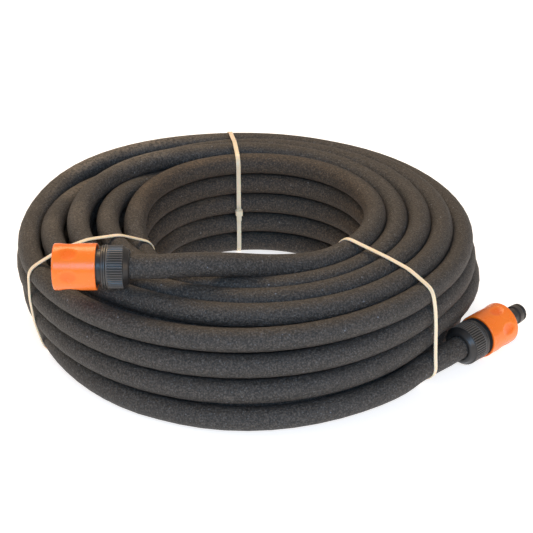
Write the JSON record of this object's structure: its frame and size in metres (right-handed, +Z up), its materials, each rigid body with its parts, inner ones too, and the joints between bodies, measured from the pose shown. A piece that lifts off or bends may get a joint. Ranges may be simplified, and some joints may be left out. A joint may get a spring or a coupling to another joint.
{
  "type": "soaker hose",
  "caption": "Porous soaker hose wound into a ring and held by cable ties, with a click connector at each end and a two way spigot in the outlet.",
  "frame": {"origin": "middle of the whole footprint, on the floor", "axes": "+Z up, along the coil's axis; +X to the viewer's right and -Y towards the viewer, who sees both connectors at the front; the inlet's socket faces -X"},
  "size_m": [0.3986, 0.368, 0.1172],
  "materials": {
    "porous_rubber": "open pored recycled rubber, matte",
    "black_plastic": "moulded, dull sheen",
    "orange_plastic": "moulded, soft gloss",
    "spring_steel": "drawn wire",
    "seal_rubber": "smooth",
    "natural_nylon": "undyed nylon, slightly translucent"
  },
  "bodies": {
    "hose": {"hose_coil": "porous_rubber", "inlet_hose_end": "porous_rubber", "outlet_hose_end": "porous_rubber", "inlet_body": "black_plastic", "outlet_body": "black_plastic", "inlet_spring": "spring_steel", "outlet_spring": "spring_steel", "cable_tie_left": "natural_nylon", "cable_tie_back": "natural_nylon", "cable_tie_right": "natural_nylon"},
    "inlet_sleeve": {"inlet_release_sleeve": "orange_plastic"},
    "inlet_claw_top": {"inlet_claw_1": "black_plastic"},
    "inlet_claw_back": {"inlet_claw_2": "black_plastic"},
    "inlet_claw_front": {"inlet_claw_3": "black_plastic"},
    "inlet_grip": {"inlet_grip_ring": "black_plastic"},
    "inlet_nut": {"inlet_clamp_nut": "black_plastic"},
    "outlet_sleeve": {"outlet_release_sleeve": "orange_plastic"},
    "outlet_claw_low": {"outlet_claw_1": "black_plastic"},
    "outlet_claw_back": {"outlet_claw_2": "black_plastic"},
    "outlet_claw_front": {"outlet_claw_3": "black_plastic"},
    "outlet_grip": {"outlet_grip_ring": "black_plastic"},
    "outlet_nut": {"outlet_clamp_nut": "black_plastic"},
    "two_way_spigot": {"spigot": "black_plastic", "spigot_inner_seal": "seal_rubber", "spigot_outer_seal": "seal_rubber"}
  },
  "joints": [
    {"name": "inlet_sleeve_slide", "type": "slide", "parent": "hose", "child": "inlet_sleeve", "axis": [1, 0, 0], "range_m": [0, 0.003], "stiffness_N_per_m": 1500, "springref_m": -0.004, "deforming": ["inlet_spring"]},
    {"name": "inlet_claw_top_slide", "type": "slide", "parent": "hose", "child": "inlet_claw_top", "axis": [0, 0, 1], "range_m": [0, 0.00135]},
    {"name": "inlet_claw_back_slide", "type": "slide", "parent": "hose", "child": "inlet_claw_back", "axis": [0, 0.866, -0.5], "range_m": [0, 0.00135]},
    {"name": "inlet_claw_front_slide", "type": "slide", "parent": "hose", "child": "inlet_claw_front", "axis": [0, -0.866, -0.5], "range_m": [0, 0.00135]},
    {"name": "inlet_grip_slide", "type": "slide", "parent": "hose", "child": "inlet_grip", "axis": [1, 0, 0], "range_m": [0, 0.007]},
    {"name": "inlet_nut_turn", "type": "hinge", "parent": "inlet_grip", "child": "inlet_nut", "pos_m": [-0.09689, -0.12468, 0.1007], "axis": [1, 0, 0], "range_deg": [0, 900]},
    {"name": "outlet_sleeve_slide", "type": "slide", "parent": "hose", "child": "outlet_sleeve", "axis": [-0.7071, -0.7071, 0], "range_m": [0, 0.003], "stiffness_N_per_m": 1500, "springref_m": -0.004, "deforming": ["outlet_spring"]},
    {"name": "outlet_claw_low_slide", "type": "slide", "parent": "hose", "child": "outlet_claw_low", "axis": [0, 0, -1], "range_m": [0, 0.00135]},
    {"name": "outlet_claw_back_slide", "type": "slide", "parent": "hose", "child": "outlet_claw_back", "axis": [-0.6124, 0.6124, 0.5], "range_m": [0, 0.00135]},
    {"name": "outlet_claw_front_slide", "type": "slide", "parent": "hose", "child": "outlet_claw_front", "axis": [0.6124, -0.6124, 0.5], "range_m": [0, 0.00135]},
    {"name": "outlet_grip_slide", "type": "slide", "parent": "hose", "child": "outlet_grip", "axis": [-0.7071, -0.7071, 0], "range_m": [0, 0.007]},
    {"name": "outlet_nut_turn", "type": "hinge", "parent": "outlet_grip", "child": "outlet_nut", "pos_m": [0.14057, -0.09532, 0.0166], "axis": [-0.7071, -0.7071, 0], "range_deg": [0, 900]},
    {"name": "spigot_swivel", "type": "hinge", "parent": "hose", "child": "two_way_spigot", "pos_m": [0.17805, -0.05784, 0.0166], "axis": [0.7071, 0.7071, 0], "continuous": true}
  ],
  "couplings": [
    {"joint": "inlet_claw_top_slide", "follows": "inlet_sleeve_slide", "ratio": 0.45},
    {"joint": "inlet_claw_back_slide", "follows": "inlet_sleeve_slide", "ratio": 0.45},
    {"joint": "inlet_claw_front_slide", "follows": "inlet_sleeve_slide", "ratio": 0.45},
    {"joint": "outlet_claw_low_slide", "follows": "outlet_sleeve_slide", "ratio": 0.45},
    {"joint": "outlet_claw_back_slide", "follows": "outlet_sleeve_slide", "ratio": 0.45},
    {"joint": "outlet_claw_front_slide", "follows": "outlet_sleeve_slide", "ratio": 0.45},
    {"joint": "inlet_grip_slide", "follows": "inlet_nut_turn", "m_per_rad": 0.0004456},
    {"joint": "outlet_grip_slide", "follows": "outlet_nut_turn", "m_per_rad": 0.0004456}
  ]
}
